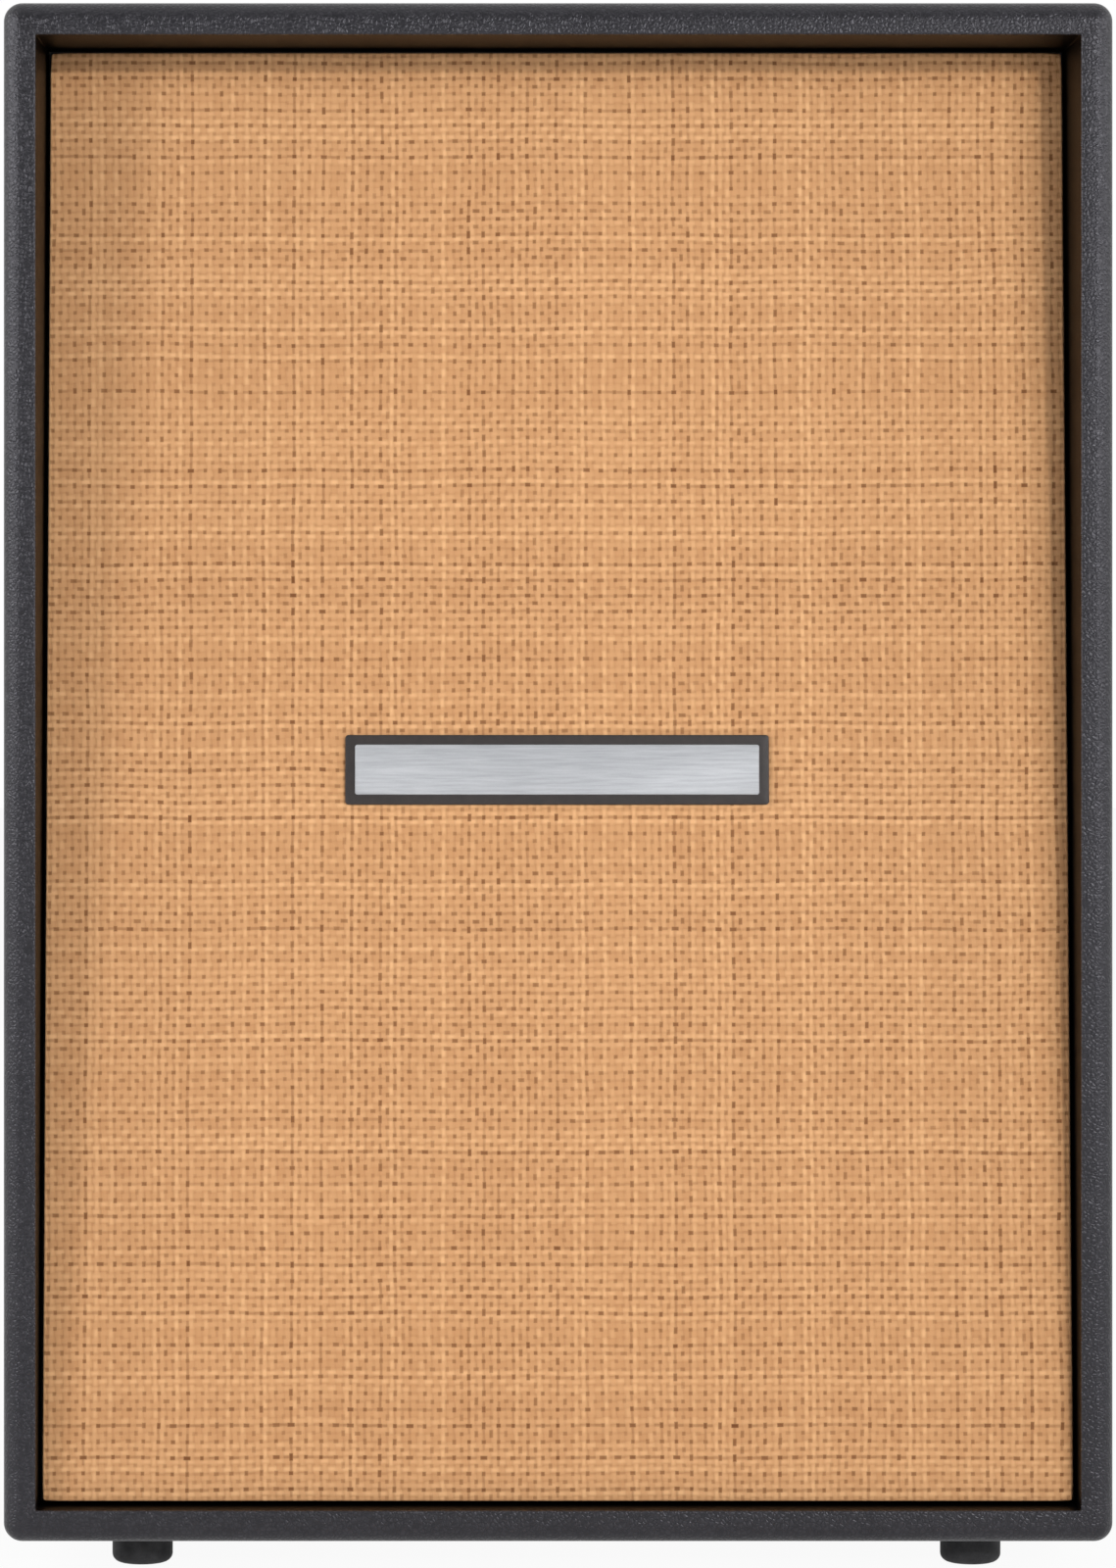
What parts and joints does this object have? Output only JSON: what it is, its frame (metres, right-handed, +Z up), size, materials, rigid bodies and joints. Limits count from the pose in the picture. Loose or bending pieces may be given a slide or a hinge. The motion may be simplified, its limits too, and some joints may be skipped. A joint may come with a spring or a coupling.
{
  "type": "guitar speaker cabinet",
  "caption": "Tall guitar speaker cabinet: black grained covering, deep front recess, leaning woven grille, twin drivers, side handles, jack plate and a removable back panel.",
  "frame": {"origin": "on the floor, under the middle of the cabinet", "axes": "+X to the right as seen from the front, +Y from the grille to the back, +Z up"},
  "size_m": [0.51, 0.3, 0.717],
  "materials": {
    "plywood": "satin",
    "covering": "satin",
    "black_board": "matte",
    "covered_board": "satin",
    "grille_cloth": "matte",
    "tape": "matte",
    "badge": "satin",
    "black_screw": "satin",
    "zinc": "satin",
    "black_plate": "satin",
    "jack_body": "satin",
    "nickel": "polished",
    "cable": "satin",
    "clip": "satin",
    "foot_rubber": "matte",
    "handle_plastic": "satin",
    "grip_rubber": "satin",
    "gasket": "matte",
    "chassis": "satin",
    "cone_paper": "matte",
    "surround_cloth": "satin",
    "spider_cloth": "matte",
    "coil": "satin",
    "plated_steel": "satin",
    "ferrite": "matte",
    "terminal": "satin",
    "tinsel": "satin"
  },
  "bodies": {
    "cabinet": {"left_side_panel": "plywood", "right_side_panel": "plywood", "top_panel": "plywood", "bottom_panel": "plywood", "vinyl_covering": "covering", "baffle_board": "black_board", "baffle_battens": "plywood", "baffle_screws": "black_screw", "rear_battens": "plywood", "upper_back_panel": "covered_board", "lower_back_panel": "covered_board", "fixed_panel_screws": "black_screw", "grille_loop_pads": "tape", "speaker_screws": "zinc", "speaker_tee_nuts": "zinc", "jack_plate": "black_plate", "link_jack": "jack_body", "input_jack": "jack_body", "jack_nuts": "nickel", "jack_link_wires": "cable", "plate_screws": "black_screw", "lower_speaker_cable": "cable", "upper_speaker_cable": "cable", "cable_clips": "clip", "rubber_feet": "foot_rubber", "foot_screws": "zinc", "left_handle_cup": "handle_plastic", "right_handle_cup": "handle_plastic", "left_handle_grip": "grip_rubber", "right_handle_grip": "grip_rubber", "lower_gasket": "gasket", "lower_chassis": "chassis", "lower_surround": "surround_cloth", "lower_spider": "spider_cloth", "lower_top_plate": "plated_steel", "lower_magnet": "ferrite", "lower_yoke": "plated_steel", "lower_terminal_strip": "terminal", "lower_tinsel_leads": "tinsel", "upper_gasket": "gasket", "upper_chassis": "chassis", "upper_surround": "surround_cloth", "upper_spider": "spider_cloth", "upper_top_plate": "plated_steel", "upper_magnet": "ferrite", "upper_yoke": "plated_steel", "upper_terminal_strip": "terminal", "upper_tinsel_leads": "tinsel"},
    "grille": {"grille_frame": "black_board", "grille_cloth": "grille_cloth", "grille_hook_pads": "tape", "badge_plate": "badge"},
    "centre_back": {"centre_back_panel": "covered_board", "centre_panel_screws": "black_screw"},
    "lower_cone_body": {"lower_cone": "cone_paper", "lower_dust_cap": "cone_paper", "lower_voice_coil": "coil"},
    "upper_cone_body": {"upper_cone": "cone_paper", "upper_dust_cap": "cone_paper", "upper_voice_coil": "coil"}
  },
  "joints": [
    {"name": "grille_pull", "type": "slide", "parent": "cabinet", "child": "grille", "axis": [0, -1, 0], "range_m": [0, 0.12]},
    {"name": "centre_back_lift", "type": "slide", "parent": "cabinet", "child": "centre_back", "axis": [0, 1, 0], "range_m": [0, 0.09]},
    {"name": "lower_cone_travel", "type": "slide", "parent": "cabinet", "child": "lower_cone_body", "axis": [0, -0.9972, 0.0746], "range_m": [-0.003, 0.003], "stiffness_N_per_m": 8000, "deforming": ["lower_surround", "lower_spider", "lower_tinsel_leads"]},
    {"name": "upper_cone_travel", "type": "slide", "parent": "cabinet", "child": "upper_cone_body", "axis": [0, -0.9972, 0.0746], "range_m": [-0.003, 0.003], "stiffness_N_per_m": 8000, "deforming": ["upper_surround", "upper_spider", "upper_tinsel_leads"]}
  ]
}
